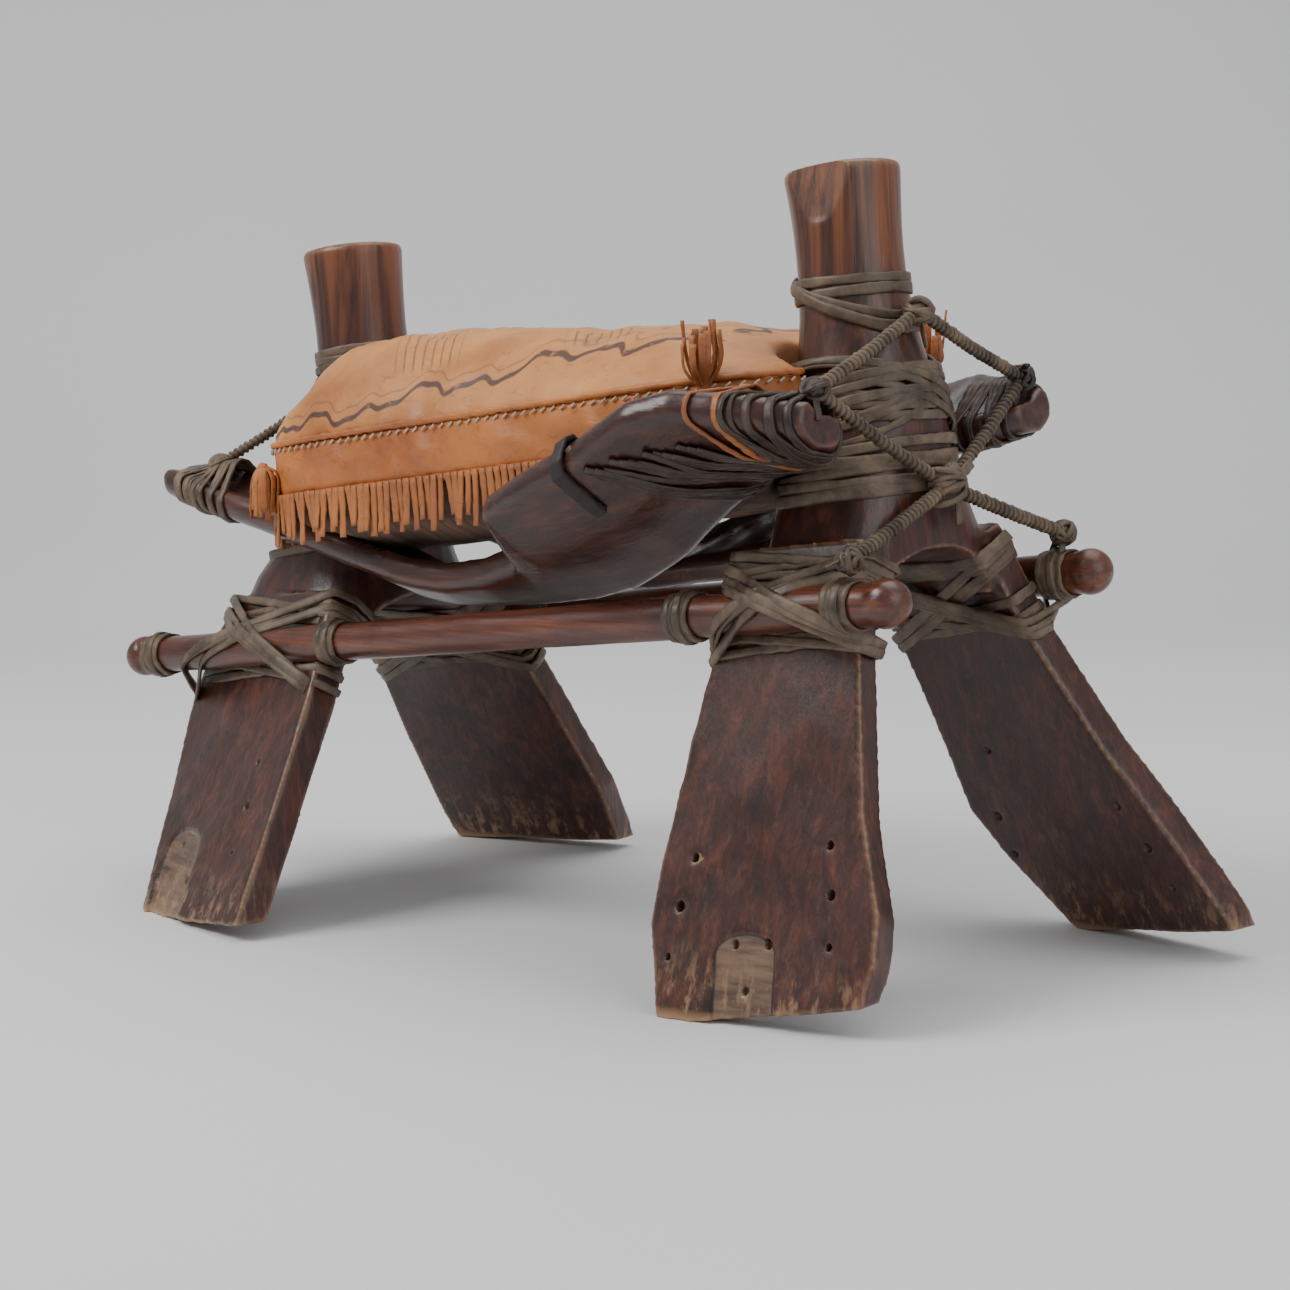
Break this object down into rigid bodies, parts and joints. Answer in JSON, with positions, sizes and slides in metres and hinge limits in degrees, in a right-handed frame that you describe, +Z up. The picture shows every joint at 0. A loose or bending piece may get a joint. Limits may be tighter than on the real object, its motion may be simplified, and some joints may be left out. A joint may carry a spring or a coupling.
{
  "type": "camel saddle stool",
  "caption": "Wooden camel saddle used as a stool: forked pommel frames, dished side boards and rails lashed with rawhide, under a loose fringed leather cushion.",
  "frame": {"origin": "middle of the object's box, on the surface that the feet stand on", "axes": "+X towards the front pommel, +Y towards the far side, +Z up"},
  "size_m": [0.7467, 0.382, 0.4691],
  "materials": {
    "fork_wood": "worn glossy varnish",
    "board_wood": "dark waxed, polished at the edges",
    "rail_wood": "hand-polished",
    "rawhide": "dry twisted rawhide",
    "black_strap": "dry",
    "suede": "suede",
    "cushion_leather": "satin, painted border",
    "base_cloth": "woven check",
    "stuffing": "loose fibre"
  },
  "bodies": {
    "saddle_frame": {"front_fork": "fork_wood", "rear_fork": "fork_wood", "near_side_board": "board_wood", "far_side_board": "board_wood", "near_rail": "rail_wood", "far_rail": "rail_wood", "near_front_rail_lashing": "rawhide", "far_front_rail_lashing": "rawhide", "near_rear_rail_lashing": "rawhide", "far_rear_rail_lashing": "rawhide", "near_front_board_lashing": "rawhide", "far_front_board_lashing": "rawhide", "near_rear_board_lashing": "rawhide", "far_rear_board_lashing": "rawhide", "front_neck_strap": "rawhide", "rear_neck_strap": "rawhide", "front_waist_strap": "rawhide", "rear_waist_strap": "rawhide", "front_knot": "rawhide", "near_front_neck_stay": "rawhide", "far_front_neck_stay": "rawhide", "near_front_cross_stay": "rawhide", "far_front_cross_stay": "rawhide", "near_front_rail_stay": "rawhide", "far_front_rail_stay": "rawhide", "near_rear_neck_stay": "rawhide", "far_rear_neck_stay": "rawhide", "near_slot_strap": "black_strap", "near_tie_strip": "suede"},
    "cushion": {"cushion_top": "cushion_leather", "cushion_band": "cushion_leather", "cushion_filling": "stuffing", "cushion_base": "base_cloth", "cushion_fringe": "suede", "near_rear_tassel": "suede", "far_rear_tassel": "suede", "near_front_tassel": "suede", "far_front_tassel": "suede"}
  },
  "joints": [
    {"name": "cushion_lift", "type": "slide", "parent": "saddle_frame", "child": "cushion", "axis": [-0.1028, 0, 0.9947], "range_m": [0, 0.15]}
  ]
}
